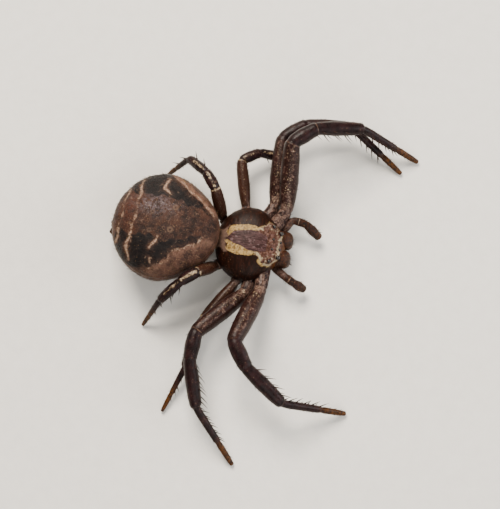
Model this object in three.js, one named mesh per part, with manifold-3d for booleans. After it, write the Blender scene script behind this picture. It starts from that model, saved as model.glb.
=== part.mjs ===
// A female ground crab spider at life size, standing with its long front legs held out to the sides.
// Millimetres, +Z up, the floor at Z 0. The animal faces -Y, and +X is its left side.
import * as THREE from "three";
import { mergeVertices } from "three/addons/utils/BufferGeometryUtils.js";
import Module from "manifold-3d";

const wasm = await Module();
wasm.setup();

// Gaps between the pieces, and how finely round forms are cut
const GAP = 0.12;
const EYE_GAP = 0.03;
const LIMB_SIDES = 10;
const SMALL_SIDES = 7;
const FANG_SIDES = 6;
const MERGE = 1e-4;

// Cephalothorax: the carapace above its rim, the sternum below it.
// The bulges are exponents: under 1 makes a form blunter than an ellipse.
const CARAPACE = {
  centre: [0, 0.05, 1.1],
  halfWidth: 1.82,
  front: 1.74,
  rear: 1.62,
  dome: 0.98,
  sternumDepth: 0.52,
  headNarrowing: 0.34,
  sternumNarrowing: 0.5,
  headSlope: 0.1,
  rearSlope: 0.12,
  bulge: { front: 0.82, side: 0.92, dome: 0.78, sternum: 0.6 },
  facets: [26, 16],
};

// Abdomen: nearly round from above, widest behind its middle, flattened on top
const ABDOMEN = {
  centre: [0.06, 4.06, 1.92],
  halfWidth: 2.62,
  front: 2.65,
  rear: 2.5,
  dome: 1.36,
  belly: 1.55,
  frontNarrowing: 0.14,
  bulge: { dome: 0.86, belly: 0.9 },
  facets: [34, 20],
};

// Pedicel: the waist between the two
const PEDICEL = { radius: 0.3, from: [0, 1.2, 0.82], to: [0.02, 2.4, 0.86], shape: [[0, 1], [1, 1]] };

// Spinnerets: three pairs in a cluster under the rear end, on a low cone.
// A place is across and up, in shares of the spread.
const SPINNERETS = {
  centre: [0, 6.1, 0.95],
  coneRadius: 0.25,
  radius: 0.17,
  length: 0.62,
  spread: 0.12,
  splay: 12,
  droop: -18,
  places: [[1, 0.6], [-1, 0.6], [1, -0.6], [-1, -0.6], [0.5, 0], [-0.5, 0]],
  shape: [[0, 1], [0.6, 0.95], [1, 0.6]],
};

// Chelicerae: stout, side by side under the front edge, each with a short fang that points inwards
const CHELICERA = {
  x: 0.45,
  y: -1.58,
  top: 1.16,
  length: 0.96,
  radius: 0.4,
  slope: -78,
  shape: [[0, 0.95], [0.3, 1], [0.7, 0.85], [1, 0.55]],
  fang: { radius: 0.12, length: 0.38, way: [-0.55, 0.35, -0.75] },
};

// Mouthparts: the lip with a maxilla on each side of it
const MOUTHPARTS = {
  y: -0.98,
  z: 0.5,
  rise: 12,
  length: 0.5,
  lip: { radius: 0.2, share: 0.6 },
  maxilla: { x: 0.4, radius: 0.26, toe: 14 },
  shape: [[0, 0.9], [0.5, 1], [1, 0.7]],
};

// Palps: joints from the base to the tip
const PALPS = {
  left: [[0.85, -1.3, 0.72], [1.5, -1.8, 1.1], [1.42, -2.45, 1.0], [1.02, -3.1, 0.5]],
  right: [[-0.85, -1.3, 0.72], [-1.28, -1.85, 1.05], [-1.5, -2.3, 0.95], [-1.6, -2.75, 0.5]],
};
const PALP_RADII = [0.27, 0.25, 0.26];
const PALP_SHAPE = [[0, 0.9], [0.5, 1], [1, 0.9]];

// Eyes: a front row of four and a rear row of four, each given by its bearing from the carapace's
// centre (degrees to the side of straight ahead), its height angle, its radius and its tubercle's
const EYES = {
  anterior_median: { bearing: 8, height: 34, radius: 0.07, tubercle: 0 },
  anterior_lateral: { bearing: 27, height: 34, radius: 0.11, tubercle: 0.19 },
  posterior_median: { bearing: 14, height: 52, radius: 0.06, tubercle: 0 },
  posterior_lateral: { bearing: 44, height: 44, radius: 0.09, tubercle: 0.18 },
};
const EYE_STANDS_OUT = 0.75; // of its tubercle's radius

// Legs: each pair's own sizes. The foot is the metatarsus and the tarsus in one.
const SEGMENTS = ["coxa", "femur", "patella", "tibia", "foot"];
const LEG_PAIRS = {
  1: {
    base: [0.62, -0.72, 0.85],
    length: { coxa: 1.5, femur: 3.3, patella: 1.35, tibia: 2.35, foot: 3.3 },
    radius: { coxa: 0.38, femur: 0.46, patella: 0.39, tibia: 0.36, foot: 0.25 },
    spinePairs: { tibia: 4, foot: 3 },
  },
  2: {
    base: [0.78, -0.25, 0.82],
    length: { coxa: 1.5, femur: 3.25, patella: 1.3, tibia: 2.25, foot: 3.15 },
    radius: { coxa: 0.37, femur: 0.44, patella: 0.38, tibia: 0.35, foot: 0.25 },
    spinePairs: { tibia: 4, foot: 3 },
  },
  3: {
    base: [0.78, 0.25, 0.82],
    length: { coxa: 1.1, femur: 2.3, patella: 1.0, tibia: 1.4, foot: 2.3 },
    radius: { coxa: 0.3, femur: 0.3, patella: 0.27, tibia: 0.26, foot: 0.25 },
    spinePairs: { tibia: 1, foot: 1 },
  },
  4: {
    base: [0.6, 0.75, 0.7],
    length: { coxa: 0.95, femur: 1.95, patella: 0.9, tibia: 1.45, foot: 1.9 },
    radius: { coxa: 0.3, femur: 0.31, patella: 0.28, tibia: 0.26, foot: 0.25 },
    spinePairs: { tibia: 1, foot: 1 },
  },
};

// The stance: each segment's heading and rise in degrees. A heading is 0 straight ahead and
// positive to the animal's left. A foot has a heading alone: it comes down to the floor.
const STANCE = {
  left_1: { coxa: [59, 15], femur: [93, 27], patella: [41, -6], tibia: [14, -19], foot: -15 },
  left_2: { coxa: [65, 4], femur: [92, 9], patella: [40, -4], tibia: [7, -8], foot: -33 },
  left_3: { coxa: [103, 5], femur: [104, 6], patella: [35, -12], tibia: [3, -26], foot: -76 },
  left_4: { coxa: [143, 10], femur: [114, 56], patella: [127, -6], tibia: [142, -30], foot: -155 },
  right_1: { coxa: [-86, 16], femur: [-105, 23], patella: [-56, -7], tibia: [-35, -16], foot: 5 },
  right_2: { coxa: [-94, 9], femur: [-129, 16], patella: [-94, -6], tibia: [-74, -16], foot: -48 },
  right_3: { coxa: [-100, 2], femur: [-122, 0], patella: [-108, -3], tibia: [-98, -8], foot: -110 },
  right_4: { coxa: [-143, 10], femur: [-128, 58], patella: [-145, -12], tibia: [-136, -31], foot: -128 },
};
const TIP_HEIGHT = 0.13; // of the centre of a foot's round tip above the floor

// A segment's radius along its length, as shares of its length and of its greatest radius
const SHAPES = {
  coxa: [[0, 0.9], [0.4, 1], [0.8, 0.85], [1, 0.75]],
  femur: [[0, 0.7], [0.18, 0.88], [0.42, 1], [0.75, 0.94], [1, 0.8]],
  patella: [[0, 0.82], [0.45, 1], [1, 0.86]],
  tibia: [[0, 0.86], [0.4, 1], [0.8, 0.9], [1, 0.78]],
  foot: [[0, 0.9], [0.15, 0.96], [0.55, 0.84], [0.8, 0.72], [1, 0.62]],
};
const END_CAP = 0.5; // how far a limb's round end stands out, as a share of its radius there
const CAP_TURNS = [0.35, 0.72]; // of a quarter turn

// Spines: pairs along the inner side of the tibiae and feet, leaning towards the tip.
// The two of a pair are splayed either side of the middle and a little apart along the limb.
const SPINE = { length: 0.62, radius: 0.11, sides: 5, lean: 48, splay: 34, sunk: 0.12 };
const SPINE_ROWS = { reach: 0.9, first: 0.75, stagger: 0.12 }; // the last two in shares of a step

const FLOOR = { width: 40, depth: 2 };

// Colours
const COLOURS = {
  carapace: "#4a3128",
  abdomen: "#5b4038",
  legs: "#3f2a26",
  mouth: "#5a2f1c",
  eyes: "#0d0a09",
};

const SIDES = { left: 1, right: -1 };
const radians = THREE.MathUtils.degToRad;
const ease = THREE.MathUtils.smoothstep;
const vector = (list) => new THREE.Vector3(...list);
const power = (value, exponent) => Math.sign(value) * Math.abs(value) ** exponent;

// The unit vector of a heading and a rise in degrees
function direction([heading, rise]) {
  const h = radians(heading);
  const r = radians(rise);
  return new THREE.Vector3(Math.sin(h) * Math.cos(r), -Math.cos(h) * Math.cos(r), Math.sin(r));
}

// A closed geometry as a solid
function solid(geometry) {
  const bare = geometry.clone();
  bare.deleteAttribute("normal");
  bare.deleteAttribute("uv");
  const merged = mergeVertices(bare, MERGE);
  return new wasm.Manifold(
    new wasm.Mesh({
      numProp: 3,
      vertProperties: new Float32Array(merged.attributes.position.array),
      triVerts: new Uint32Array(merged.index.array),
    }),
  );
}

const joined = (pieces) => pieces.reduce((whole, piece) => whole.add(piece));

// What is left of a solid once others are cut from it: its largest closed surface
function cut(piece, others) {
  const rest = others.reduce((left, other) => left.subtract(other), piece);
  return rest.decompose().sort((a, b) => b.volume() - a.volume())[0];
}

// A solid turned through [radius, height] pairs, standing on a point along a direction
function turned(profile, from, along, sides) {
  const points = profile.map(([r, h]) => new THREE.Vector2(r, h));
  const geometry = new THREE.LatheGeometry(points, sides);
  const turn = new THREE.Quaternion().setFromUnitVectors(new THREE.Vector3(0, 1, 0), along);
  geometry.applyQuaternion(turn);
  geometry.translate(from.x, from.y, from.z);
  return solid(geometry);
}

// A limb from a point along a direction, with round ends and its own shape in between
function limb(from, along, length, radius, shape, { grow = 0, sides = LIMB_SIDES } = {}) {
  const width = (share) => radius * share + grow;
  const first = width(shape[0][1]);
  const last = width(shape[shape.length - 1][1]);
  const turns = CAP_TURNS.map((share) => (share * Math.PI) / 2);
  const profile = [
    [0, -first],
    ...turns.map((turn) => [first * Math.sin(turn), -first * Math.cos(turn)]),
    ...shape.map(([share, r]) => [width(r), share * length]),
    ...turns.reverse().map((turn) => [last * Math.sin(turn), length + last * END_CAP * Math.cos(turn)]),
    [0, length + last * END_CAP],
  ];
  return turned(profile, from, along, sides);
}

// A ball given by its centre and radius
function ball(centre, radius, across = 10, down = 8) {
  const geometry = new THREE.SphereGeometry(radius, across, down);
  geometry.translate(centre.x, centre.y, centre.z);
  return solid(geometry);
}

// A sphere whose every point is moved by a function of its own direction
function shaped(place, [across, down]) {
  const geometry = new THREE.SphereGeometry(1, across, down);
  geometry.rotateX(Math.PI / 2);
  const position = geometry.attributes.position;
  for (let i = 0; i < position.count; i++) {
    const moved = place(new THREE.Vector3().fromBufferAttribute(position, i));
    position.setXYZ(i, moved.x, moved.y, moved.z);
  }
  return solid(geometry);
}

// The cephalothorax's surface in a direction from its centre
function carapacePoint(way, grow = 0) {
  const c = CARAPACE;
  const y = way.y < 0 ? (c.front + grow) * power(way.y, c.bulge.front) : (c.rear + grow) * way.y;
  const narrowing = 1 - c.headNarrowing * ease(-y, 0.1, c.front);
  const under = way.z < 0 ? 1 - c.sternumNarrowing * Math.abs(way.z) ** 1.5 : 1;
  const x = (c.halfWidth + grow) * power(way.x, c.bulge.side) * narrowing * under;
  const slope = 1 - c.headSlope * ease(-y, 0.3, c.front) - c.rearSlope * ease(y, 0.6, c.rear);
  const above = (c.dome + grow) * power(way.z, c.bulge.dome) * slope;
  const below = (c.sternumDepth + grow) * power(way.z, c.bulge.sternum);
  return new THREE.Vector3(x, y * under, way.z > 0 ? above : below).add(vector(c.centre));
}

// The abdomen's surface in a direction from its centre
function abdomenPoint(way, grow = 0) {
  const a = ABDOMEN;
  const y = (way.y < 0 ? a.front + grow : a.rear + grow) * way.y;
  const narrowing = 1 - a.frontNarrowing * ease(-y, -0.4, a.front);
  const x = (a.halfWidth + grow) * way.x * narrowing;
  const above = (a.dome + grow) * power(way.z, a.bulge.dome);
  const below = (a.belly + grow) * power(way.z, a.bulge.belly);
  return new THREE.Vector3(x, y, way.z > 0 ? above : below).add(vector(a.centre));
}

const spider = new THREE.Group();

// Adds a solid to a group as a named mesh placed at its own reference point
function add(group, name, piece, colour, at) {
  const { numProp, vertProperties, triVerts } = piece.getMesh();
  const count = vertProperties.length / numProp;
  const position = new Float32Array(count * 3);
  for (let i = 0; i < count; i++)
    position.set(vertProperties.subarray(i * numProp, i * numProp + 3), i * 3);
  const geometry = new THREE.BufferGeometry();
  geometry.setAttribute("position", new THREE.BufferAttribute(position, 3));
  geometry.setIndex(new THREE.BufferAttribute(new Uint32Array(triVerts), 1));
  geometry.translate(-at.x, -at.y, -at.z);
  geometry.computeVertexNormals();
  const material = new THREE.MeshStandardMaterial({ color: COLOURS[colour], roughness: 0.55, metalness: 0 });
  const mesh = new THREE.Mesh(geometry, material);
  mesh.name = name;
  mesh.position.copy(at).sub(group.position);
  group.add(mesh);
}

// A group of the spider's with its own reference point
function groupAt(place) {
  const group = new THREE.Group();
  group.position.copy(place);
  spider.add(group);
  return group;
}

// Cephalothorax with its eyes, those at the sides on tubercles
const eyes = [];
const tubercles = [];
for (const [kind, eye] of Object.entries(EYES))
  for (const [side, sign] of Object.entries(SIDES)) {
    const way = direction([sign * eye.bearing, eye.height]);
    const seat = carapacePoint(way);
    if (eye.tubercle) tubercles.push(ball(seat, eye.tubercle));
    const centre = seat.clone().addScaledVector(way, eye.tubercle * EYE_STANDS_OUT);
    eyes.push({ name: `eye_${kind}_${side}`, centre, radius: eye.radius });
  }
const head = groupAt(vector(CARAPACE.centre));
const sockets = eyes.map((eye) => ball(eye.centre, eye.radius + EYE_GAP));
const carapace = joined([shaped((way) => carapacePoint(way), CARAPACE.facets), ...tubercles]);
const grownCarapace = shaped((way) => carapacePoint(way, GAP), CARAPACE.facets);
add(head, "cephalothorax", cut(carapace, sockets), "carapace", head.position);
for (const eye of eyes) add(head, eye.name, ball(eye.centre, eye.radius, 8, 6), "eyes", eye.centre);

// Pairs of spines on the side of a limb that faces forwards and inwards
function spines(from, along, length, radius, sign, pairs) {
  const inner = new THREE.Vector3(0, 0, 1).cross(along).normalize().multiplyScalar(-sign);
  const profile = [[0, 0], [SPINE.radius, 0], [0, SPINE.length + SPINE.sunk]];
  const made = [];
  for (let i = 0; i < pairs; i++)
    for (const row of [-1, 1]) {
      const share = (SPINE_ROWS.reach * (i + SPINE_ROWS.first + row * SPINE_ROWS.stagger)) / (pairs + 0.5);
      const out = inner.clone().applyAxisAngle(along, radians(row * SPINE.splay));
      const root = from.clone().addScaledVector(along, share * length);
      root.addScaledVector(out, radius - SPINE.sunk);
      const way = out.clone().multiplyScalar(Math.sin(radians(SPINE.lean)));
      way.addScaledVector(along, Math.cos(radians(SPINE.lean))).normalize();
      made.push(turned(profile, root, way, SPINE.sides));
    }
  return made;
}

// Everything below the surface that the feet rest on
const floorBox = new THREE.BoxGeometry(FLOOR.width, FLOOR.width, FLOOR.depth);
floorBox.translate(0, 0, -FLOOR.depth / 2);
const floor = solid(floorBox);

// Legs, from the hips outwards. Each segment is cut back from the one before it, and a coxa also
// from those of the legs in front of it.
const grownLegs = {};
const grownCoxae = { left: [], right: [] };
for (const [name, stance] of Object.entries(STANCE)) {
  const [side, number] = name.split("_");
  const pair = LEG_PAIRS[number];
  const base = vector(pair.base).multiply(new THREE.Vector3(SIDES[side], 1, 1));
  const leg = groupAt(base);
  let joint = base;
  let before = [grownCarapace, ...grownCoxae[side]];
  grownLegs[name] = [];
  for (const segment of SEGMENTS) {
    const length = pair.length[segment];
    const radius = pair.radius[segment];
    const fall = THREE.MathUtils.radToDeg(Math.asin((joint.z - TIP_HEIGHT) / length));
    const along = direction(segment === "foot" ? [stance.foot, -fall] : stance[segment]);
    const body = limb(joint, along, length, radius, SHAPES[segment]);
    const grown = limb(joint, along, length, radius, SHAPES[segment], { grow: GAP });
    const thorns = spines(joint, along, length, radius, SIDES[side], pair.spinePairs[segment] ?? 0);
    const piece = cut(joined([body, ...thorns]), [...before, floor]);
    add(leg, `leg_${name}_${segment}`, piece, "legs", joint);
    grownLegs[name].push(grown);
    before = segment === "coxa" ? [grown, grownCarapace] : [grown];
    joint = joint.clone().addScaledVector(along, length);
  }
  grownCoxae[side].push(grownLegs[name][0]);
}
const allGrownCoxae = [...grownCoxae.left, ...grownCoxae.right];

// Chelicerae with their fangs, either side of the midline
const grownMouth = [];
for (const [side, sign] of Object.entries(SIDES)) {
  const c = CHELICERA;
  const root = new THREE.Vector3(sign * c.x, c.y, c.top);
  const along = direction([0, c.slope]);
  const reach = c.length - c.radius;
  const body = limb(root, along, reach, c.radius, c.shape);
  const inward = vector(c.fang.way).multiply(new THREE.Vector3(sign, 1, 1)).normalize();
  const { radius, length } = c.fang;
  const profile = [[0, 0], [radius, 0], [radius * 0.8, length / 2], [0, length]];
  const fang = turned(profile, root.clone().addScaledVector(along, reach), inward, FANG_SIDES);
  add(spider, `chelicera_${side}`, cut(joined([body, fang]), [grownCarapace]), "mouth", root);
  grownMouth.push(limb(root, along, reach, c.radius, c.shape, { grow: GAP }));
}

// Lip and maxillae
const m = MOUTHPARTS;
const lipRoot = new THREE.Vector3(0, m.y, m.z);
const lipWay = direction([0, m.rise]);
const small = { sides: SMALL_SIDES };
const lip = limb(lipRoot, lipWay, m.length * m.lip.share, m.lip.radius, m.shape, small);
const maxillae = Object.values(SIDES).map((sign) => {
  const root = new THREE.Vector3(sign * m.maxilla.x, m.y, m.z);
  return limb(root, direction([-sign * m.maxilla.toe, m.rise]), m.length, m.maxilla.radius, m.shape, small);
});
const mouthNeighbours = [grownCarapace, ...grownMouth, ...allGrownCoxae];
add(spider, "mouthparts", cut(joined([lip, ...maxillae]), mouthNeighbours), "mouth", lipRoot);
grownMouth.push(limb(lipRoot, lipWay, m.length, m.maxilla.x + m.maxilla.radius, m.shape, { grow: GAP }));

// Palps
for (const [side, joints] of Object.entries(PALPS)) {
  const points = joints.map(vector);
  const pieces = PALP_RADII.map((radius, i) => {
    const step = points[i + 1].clone().sub(points[i]);
    return limb(points[i], step.clone().normalize(), step.length(), radius, PALP_SHAPE);
  });
  const [coxa, femur] = grownLegs[`${side}_1`];
  const neighbours = [coxa, femur, grownCarapace, ...grownMouth];
  add(spider, `palp_${side}`, cut(joined(pieces), neighbours), "mouth", points[0]);
}

// Abdomen, clear of the carapace and of the hind legs beside it
const hindLegs = [...grownLegs.left_4, ...grownLegs.right_4];
const abdomen = shaped((way) => abdomenPoint(way), ABDOMEN.facets);
const grownAbdomen = shaped((way) => abdomenPoint(way, GAP), ABDOMEN.facets);
add(spider, "abdomen", cut(abdomen, [grownCarapace, ...hindLegs]), "abdomen", vector(ABDOMEN.centre));

// Pedicel
const waistRoot = vector(PEDICEL.from);
const waistStep = vector(PEDICEL.to).sub(waistRoot);
const waistWay = waistStep.clone().normalize();
const waist = limb(waistRoot, waistWay, waistStep.length(), PEDICEL.radius, PEDICEL.shape);
add(spider, "pedicel", cut(waist, [grownCarapace, grownAbdomen, ...allGrownCoxae]), "carapace", waistRoot);

// Spinnerets
const s = SPINNERETS;
const cluster = vector(s.centre);
const nozzles = s.places.map(([across, up]) => {
  const root = cluster.clone().add(new THREE.Vector3(across * s.spread, 0, up * s.spread));
  const way = direction([180 - across * s.splay, s.droop + up * s.splay]);
  return limb(root, way, s.length, s.radius, s.shape, small);
});
const cone = ball(cluster, s.coneRadius, 8, 6);
add(spider, "spinnerets", cut(joined([cone, ...nozzles]), [grownAbdomen]), "mouth", cluster);

// The origin: on the floor, under the middle of the whole
const box = new THREE.Box3().setFromObject(spider);
const middle = box.getCenter(new THREE.Vector3());
spider.position.set(-middle.x, -middle.y, -box.min.z);

export default spider;
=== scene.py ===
"""A life-size crab spider: skins with their markings, spines and bristles, over the CAD frame."""

from math import asin, cos, degrees, pi, radians, sin, tau

import bpy
import numpy as np
from mathutils import Matrix, Vector


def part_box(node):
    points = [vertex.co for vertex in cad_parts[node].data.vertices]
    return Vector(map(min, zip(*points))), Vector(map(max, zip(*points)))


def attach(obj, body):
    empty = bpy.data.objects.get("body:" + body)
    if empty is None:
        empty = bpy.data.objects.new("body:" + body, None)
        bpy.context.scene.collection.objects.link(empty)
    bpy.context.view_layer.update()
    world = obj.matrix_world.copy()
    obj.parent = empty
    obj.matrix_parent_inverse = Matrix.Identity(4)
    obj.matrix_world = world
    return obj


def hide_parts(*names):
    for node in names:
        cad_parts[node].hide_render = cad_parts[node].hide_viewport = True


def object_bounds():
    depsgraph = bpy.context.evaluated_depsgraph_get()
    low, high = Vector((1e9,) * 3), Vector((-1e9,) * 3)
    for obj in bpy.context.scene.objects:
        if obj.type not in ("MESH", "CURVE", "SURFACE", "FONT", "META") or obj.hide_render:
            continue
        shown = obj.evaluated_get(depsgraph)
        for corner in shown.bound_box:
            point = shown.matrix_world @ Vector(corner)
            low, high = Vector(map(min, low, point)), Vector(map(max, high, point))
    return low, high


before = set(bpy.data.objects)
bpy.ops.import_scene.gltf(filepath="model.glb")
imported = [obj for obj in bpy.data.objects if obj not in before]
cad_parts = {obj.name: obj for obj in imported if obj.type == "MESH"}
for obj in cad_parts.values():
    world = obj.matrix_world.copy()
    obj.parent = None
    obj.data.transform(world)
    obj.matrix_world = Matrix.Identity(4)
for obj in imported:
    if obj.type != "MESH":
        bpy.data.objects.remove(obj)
CAD_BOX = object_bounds()

MM = 0.001
SEED = 7
rng = np.random.default_rng(SEED)

# Body forms, as in the solids, in millimetres before the shift to the origin.
# The bulges are exponents: under 1 makes a form blunter than an ellipse.
CARAPACE = dict(
    centre=(0, 0.05, 1.1), half_width=1.82, front=1.74, rear=1.62, dome=0.98, sternum_depth=0.52,
    head_narrowing=0.34, sternum_narrowing=0.5, head_slope=0.1, rear_slope=0.12,
    bulge=dict(front=0.82, side=0.92, dome=0.78, sternum=0.6),
)
ABDOMEN = dict(
    centre=(0.06, 4.06, 1.92), half_width=2.62, front=2.65, rear=2.5, dome=1.36, belly=1.55,
    front_narrowing=0.14, bulge=dict(dome=0.86, belly=0.9),
)
PEDICEL = dict(start=(0, 1.2, 0.82), end=(0.02, 2.4, 0.86), radius=0.29)
BODY_SKIN_DEPTH = dict(carapace=0.03, abdomen=0.04)
ABDOMEN_RELIEF = dict(folds=0.008, ripples=0.01, waves=0.008, pit=0.05, pale=0.02)
FLOOR_GAP = 0.004

# Eyes: bearing and height angle from the carapace's centre, radius, and radius of the tubercle
EYES = {
    "anterior_median": dict(bearing=8, height=34, radius=0.07, tubercle=0),
    "anterior_lateral": dict(bearing=27, height=34, radius=0.11, tubercle=0.19),
    "posterior_median": dict(bearing=14, height=52, radius=0.06, tubercle=0),
    "posterior_lateral": dict(bearing=44, height=44, radius=0.09, tubercle=0.18),
}
EYE_STANDS_OUT = 0.75
LENS_SHARE = 0.98
EYE_MOUND = dict(height=0.02, reach=0.1)
EYE_RING = dict(radius=1.8, width=0.07, strength=0.42)

# Mouth and spinnerets: a width is a place along the limb, from 0 at its first joint, with the
# radius there, in millimetres or as a share of the limb's radius
CHELICERA = dict(
    x=0.45, y=-1.58, top=1.16, length=0.96, radius=0.39, slope=-78, hinge_back=0.4, flatten=1.16, square=0.8,
    widths=((0, 0.9), (1, 0.95), (1.3, 0.98), (1.7, 0.84), (2, 0.55)),
)
FANG = dict(
    way=(-0.55, 0.35, -0.75), length=0.36, seat=0.8, knuckle=0.45, point=0.8, hook=(-0.04, 0.05, 0),
    widths=((0, 0.085), (1, 0.055), (2, 0.012)),
)
MOUTHPARTS = dict(y=-0.98, z=0.5, rise=12, length=0.5)
LIP = dict(radius=0.19, share=0.6, widths=((0, 0.9), (1, 0.7)))
MAXILLA = dict(x=0.4, radius=0.25, toe=14, widths=((0, 0.88), (0.5, 0.97), (1, 0.68)))
PALPS = {
    "left": ((0.85, -1.3, 0.72), (1.5, -1.8, 1.1), (1.42, -2.45, 1.0), (1.02, -3.1, 0.5)),
    "right": ((-0.85, -1.3, 0.72), (-1.28, -1.85, 1.05), (-1.5, -2.3, 0.95), (-1.6, -2.75, 0.5)),
}
PALP_WIDTHS = ((0, 0.19), (0.5, 0.2), (1, 0.17), (1.5, 0.2), (2, 0.175), (2.5, 0.235), (3, 0.19))
SPINNERETS = dict(
    centre=(0, 6.1, 0.95), radius=0.16, length=0.6, spread=0.12, splay=12, droop=-18, fan=12,
    places=((1, 0.6), (-1, 0.6), (1, -0.6), (-1, -0.6), (0.5, 0), (-0.5, 0)),
    widths=((0, 0.98), (0.6, 0.92), (1, 0.55)),
)

# Legs: each pair's base, and its lengths and radii from the coxa to the foot
SEGMENTS = ("coxa", "femur", "patella", "tibia", "foot")
LEG_PAIRS = {
    1: ((0.62, -0.72, 0.85), (1.5, 3.3, 1.35, 2.35, 3.3), (0.38, 0.46, 0.39, 0.36, 0.22)),
    2: ((0.78, -0.25, 0.82), (1.5, 3.25, 1.3, 2.25, 3.15), (0.37, 0.44, 0.38, 0.35, 0.21)),
    3: ((0.78, 0.25, 0.82), (1.1, 2.3, 1.0, 1.4, 2.3), (0.3, 0.3, 0.27, 0.25, 0.16)),
    4: ((0.6, 0.75, 0.7), (0.95, 1.95, 0.9, 1.45, 1.9), (0.3, 0.31, 0.28, 0.25, 0.16)),
}
# The stance: heading and rise of coxa, femur, patella and tibia in degrees, then the foot's heading
STANCE = {
    "left_1": ((59, 15), (93, 27), (41, -6), (14, -19), -15),
    "left_2": ((65, 4), (92, 9), (40, -4), (7, -8), -33),
    "left_3": ((103, 5), (104, 6), (35, -12), (3, -26), -76),
    "left_4": ((143, 10), (114, 56), (127, -6), (142, -30), -155),
    "right_1": ((-86, 16), (-105, 23), (-56, -7), (-35, -16), 5),
    "right_2": ((-94, 9), (-129, 16), (-94, -6), (-74, -16), -48),
    "right_3": ((-100, 2), (-122, 0), (-108, -3), (-98, -8), -110),
    "right_4": ((-143, 10), (-128, 58), (-145, -12), (-136, -31), -128),
}
TIP_HEIGHT = 0.13
# A leg's radius along it: place as joint number plus share of the segment, and share of the
# segment's radius. The foot has a second joint, where the tarsus begins.
LEG_WIDTHS = (
    (0, 0.9, "coxa"), (0.4, 1, "coxa"), (0.8, 0.85, "coxa"), (0.98, 0.76, "coxa"),
    (1.06, 0.68, "femur"), (1.18, 0.86, "femur"), (1.42, 0.98, "femur"), (1.75, 0.93, "femur"),
    (1.97, 0.8, "femur"), (2.05, 0.86, "patella"), (2.45, 0.98, "patella"), (2.95, 0.84, "patella"),
    (3.05, 0.84, "tibia"), (3.4, 0.98, "tibia"), (3.8, 0.9, "tibia"), (3.97, 0.74, "tibia"),
    (4.04, 0.84, "foot"), (4.15, 0.9, "foot"), (4.3, 0.86, "foot"), (4.58, 0.8, "foot"), (4.62, 0.66, "foot"),
    (4.68, 0.72, "foot"), (4.9, 0.64, "foot"), (5, 0.5, "foot"),
)
JOINT_DIPS = dict(places=(1, 2, 3, 4, 4.62), depth=0.07, width=0.03)

# Markings of the abdomen, seen from above: its pale streaks and the pale borders of its dark
# fields, as places on each line with the line's strength there
STREAKS = (
    ((2.04, 5.33, 0.9), (1.26, 5.35, 0.8), (0.61, 5.39, 0.35), (-0.13, 5.4, 0.4), (-0.79, 5.57, 0.7),
     (-1.25, 5.59, 1.0), (-1.88, 5.52, 0.6)),
    ((1.8, 5.85, 0.5), (1.27, 6.02, 0.8), (0.6, 6.06, 0.4), (-0.14, 6.12, 0.45), (-1.1, 6.2, 0.9)),
    ((2.16, 4.12, 0.8), (1.72, 4.2, 1.0), (1.4, 3.91, 0.6)),
    ((-0.78, 4.22, 0.6), (-0.98, 4.31, 1.0), (-1.28, 4.45, 0.8)),
    ((-1.75, 4.45, 0.6), (-1.95, 4.42, 0.4)),
)
BORDERS = (
    ((2.44, 3.91, 0.5), (2.22, 3.51, 0.9), (1.78, 2.97, 1.0), (1.32, 2.36, 0.9), (0.8, 1.75, 0.8)),
    ((-0.34, 1.93, 0.5), (-0.9, 2.55, 0.7), (-1.29, 3.32, 0.7), (-1.91, 3.76, 0.6), (-2.21, 4.56, 0.5)),
)
STREAK_WIDTH = dict(pale=0.075, blush=0.17, strength=1.0)
BORDER_WIDTH = dict(pale=0.09, blush=0.24, strength=0.62)
# The dark fields: rows from front to back, with how far from the midline each begins and ends
DARK_LEFT = (
    (1.75, 0.7, 0.78), (2.36, 0.92, 1.25), (2.97, 1.05, 1.7), (3.51, 1.22, 2.14), (3.91, 1.28, 2.4),
    (4.4, 1.3, 2.9), (5.0, 1.29, 2.9), (5.84, 1.4, 2.9), (6.45, 1.2, 2.5),
)
DARK_RIGHT = (
    (1.95, 0.32, 0.4), (2.55, 0.52, 0.85), (2.93, 0.66, 1.05), (3.32, 0.8, 1.25), (3.62, 0.84, 1.6),
    (4.0, 0.95, 1.95), (4.3, 0.85, 2.12), (4.6, 0.63, 2.2), (5.23, 0.8, 2.15), (6.0, 0.56, 1.9),
    (6.4, 0.5, 1.5),
)
# Dimples in the abdomen's skin: across, back, radius and how dark each is
DIMPLES = (
    (0.78, 3.54, 0.09, 0.2), (-0.34, 3.63, 0.1, 0.15), (-0.3, 2.61, 0.08, 1.0), (0.62, 2.6, 0.06, 0.7),
    (0.42, 4.6, 0.06, 0.5), (-0.5, 4.62, 0.06, 0.5),
)
# Soft patches: centre, half width and half length
WARM_REAR = (0.5, 5.75, 1.0, 0.6)
WARM_SIDE = (1.5, 5.5, 0.5, 0.4)
# A painted highlight: the patch where grey reflected light is painted on the abdomen's upper left side
PAINTED_SHEEN_PATCH = (0.85, 4.5, 0.45, 0.95)

# Markings of the carapace, seen from above: rows from front to back, with the half width there
SPINDLE_LEFT = (
    (-1.0, 0.2), (-0.8, 0.36), (-0.42, 0.46), (-0.03, 0.53), (0.39, 0.46), (0.81, 0.4), (1.01, 0.17),
    (1.14, 0),
)
SPINDLE_RIGHT = (
    (-1.0, 0.25), (-0.8, 0.45), (-0.43, 0.5), (-0.01, 0.52), (0.41, 0.32), (0.76, 0.24), (1.07, 0.05),
    (1.14, 0),
)
CREAM_LEFT = ((-0.6, 0.68), (0.1, 0.78), (0.57, 0.72), (0.95, 0.68), (1.3, 0.4))
CREAM_RIGHT = ((-0.45, 0.66), (-0.13, 0.75), (0.58, 0.75), (0.94, 0.62), (1.3, 0.36))
EYE_REGION = ((-1.42, 0.3), (-1.3, 0.8), (-1.15, 1.0), (-0.8, 1.05), (-0.6, 0.85), (-0.3, 0.6))
REAR_SLOPE = ((0.9, 0.72), (1.2, 0.6), (1.7, 0.34))
SPINDLE_POINT = (0, 1.14, 0.06, 0.1)
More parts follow.
